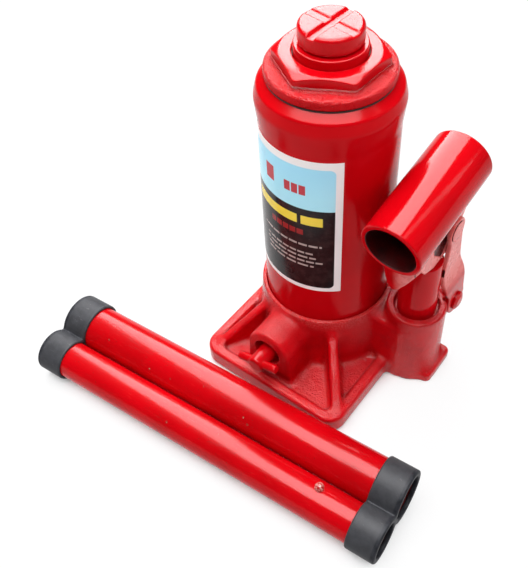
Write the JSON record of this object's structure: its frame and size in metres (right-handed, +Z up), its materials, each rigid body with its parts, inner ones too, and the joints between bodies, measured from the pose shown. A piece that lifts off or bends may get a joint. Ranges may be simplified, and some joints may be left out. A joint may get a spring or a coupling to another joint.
{
  "type": "hydraulic bottle jack",
  "caption": "Hydraulic bottle jack with pump socket, link, release valve, ram and extension screw, and its handle tubes capped together beside it.",
  "frame": {"origin": "on the main cylinder axis, at floor level under the base casting", "axes": "+Z up along the ram; X along the front edge of the base plate, towards the pump; the front with the release valve faces -Y"},
  "size_m": [0.2223, 0.176, 0.208],
  "materials": {
    "red_casting": "red gloss enamel over a rough casting",
    "red_steel": "red gloss enamel",
    "bare_steel": "machined, oiled",
    "chrome_steel": "ground",
    "rubber_black": "matt black",
    "rubber_seal": "oil-resistant seal",
    "copper": "soft washer",
    "label_vinyl": "printed vinyl sticker, no text"
  },
  "bodies": {
    "base": {"base_casting": "red_casting", "cylinder_seal": "rubber_seal", "pressure_cylinder": "bare_steel", "reservoir_casing": "red_steel", "casing_gasket": "rubber_seal", "top_gasket": "rubber_seal", "top_nut": "red_steel", "wiper_seal": "rubber_seal", "casing_label": "label_vinyl", "pump_barrel": "red_steel", "pump_washer": "copper", "link_lower_pin": "red_steel", "link_lower_clip": "red_steel", "relief_spring": "bare_steel", "relief_screw": "bare_steel", "gallery_plug": "bare_steel"},
    "ram_body": {"ram": "red_steel", "piston_cup_seal": "rubber_seal", "piston_retaining_ring": "bare_steel"},
    "screw_carrier": {"screw_stop_ring": "bare_steel"},
    "screw_body": {"extension_screw": "red_steel"},
    "valve_slider": {"release_seal_ring": "rubber_seal", "release_ball": "chrome_steel"},
    "valve_stem": {"release_stem": "red_steel", "release_cross_pin": "red_steel"},
    "pump_plunger": {"plunger": "chrome_steel", "plunger_cup_seal": "rubber_seal", "plunger_pin": "bare_steel"},
    "socket": {"socket_tube": "red_steel", "socket_bracket": "red_steel", "link_upper_pin": "red_steel", "link_upper_clip": "red_steel"},
    "links": {"link_left": "red_steel", "link_right": "red_steel"},
    "filler": {"filler_plug": "rubber_seal"},
    "suction_valve": {"suction_ball": "chrome_steel"},
    "delivery_valve": {"delivery_ball": "chrome_steel"},
    "relief_valve": {"relief_ball": "chrome_steel"},
    "handle_pack": {"handle_large_tube": "red_steel", "handle_small_tube": "red_steel", "lock_button_spring": "bare_steel"},
    "left_cap": {"twin_cap_left": "rubber_black"},
    "right_cap": {"twin_cap_right": "rubber_black"},
    "button": {"lock_button": "bare_steel"}
  },
  "joints": [
    {"name": "ram_lift", "type": "slide", "parent": "base", "child": "ram_body", "axis": [0, 0, 1], "range_m": [0, 0.12]},
    {"name": "screw_rise", "type": "slide", "parent": "ram_body", "child": "screw_carrier", "axis": [0, 0, 1], "range_m": [0, 0.065]},
    {"name": "screw_turn", "type": "hinge", "parent": "screw_carrier", "child": "screw_body", "pos_m": [0, 0, 0.15], "axis": [0, 0, 1], "range_deg": [0, 5852]},
    {"name": "release_travel", "type": "slide", "parent": "base", "child": "valve_slider", "axis": [0, -1, 0], "range_m": [0, 0.0015]},
    {"name": "release_turn", "type": "hinge", "parent": "valve_slider", "child": "valve_stem", "pos_m": [-0.002, -0.06, 0.026], "axis": [0, -1, 0], "range_deg": [0, 361]},
    {"name": "pump_stroke", "type": "slide", "parent": "base", "child": "pump_plunger", "axis": [0, 0, 1], "range_m": [0, 0.011]},
    {"name": "socket_swing", "type": "hinge", "parent": "pump_plunger", "child": "socket", "pos_m": [0.0561, 0.0047, 0.101], "axis": [-1, 0, 0], "range_deg": [0, 56.5]},
    {"name": "link_swing", "type": "hinge", "parent": "base", "child": "links", "pos_m": [0.0561, 0.0245, 0.0435], "axis": [1, 0, 0], "range_deg": [0, 2.4]},
    {"name": "filler_pull", "type": "slide", "parent": "base", "child": "filler", "axis": [-0.3746, 0.9272, 0], "range_m": [0, 0.012]},
    {"name": "suction_lift", "type": "slide", "parent": "base", "child": "suction_valve", "axis": [0, 0, 1], "range_m": [0, 0.0015]},
    {"name": "delivery_lift", "type": "slide", "parent": "base", "child": "delivery_valve", "axis": [0, 0, 1], "range_m": [0, 0.0015]},
    {"name": "relief_open", "type": "slide", "parent": "base", "child": "relief_valve", "axis": [0, 0, -1], "range_m": [0, 0.001], "stiffness_N_per_m": 3000, "springref_m": -0.002, "deforming": ["relief_spring"]},
    {"name": "pack_lift_off", "type": "slide", "parent": "base", "child": "handle_pack", "axis": [0, 0, 1], "range_m": [0, 0.1]},
    {"name": "left_cap_pull", "type": "slide", "parent": "handle_pack", "child": "left_cap", "axis": [-0.997, -0.0774, 0], "range_m": [0, 0.03]},
    {"name": "right_cap_pull", "type": "slide", "parent": "handle_pack", "child": "right_cap", "axis": [0.997, 0.0774, 0], "range_m": [0, 0.03]},
    {"name": "button_press", "type": "slide", "parent": "handle_pack", "child": "button", "axis": [0.0161, -0.2073, -0.9781], "range_m": [0, 0.0022], "stiffness_N_per_m": 2000, "springref_m": -0.002}
  ],
  "couplings": [
    {"joint": "screw_turn", "follows": "screw_rise", "rad_per_m": 1570.8},
    {"joint": "release_turn", "follows": "release_travel", "rad_per_m": 4188.8},
    {"joint": "socket_swing", "follows": "pump_stroke", "rad_per_m": 89.473},
    {"joint": "link_swing", "follows": "pump_stroke", "rad_per_m": 3.7821}
  ]
}
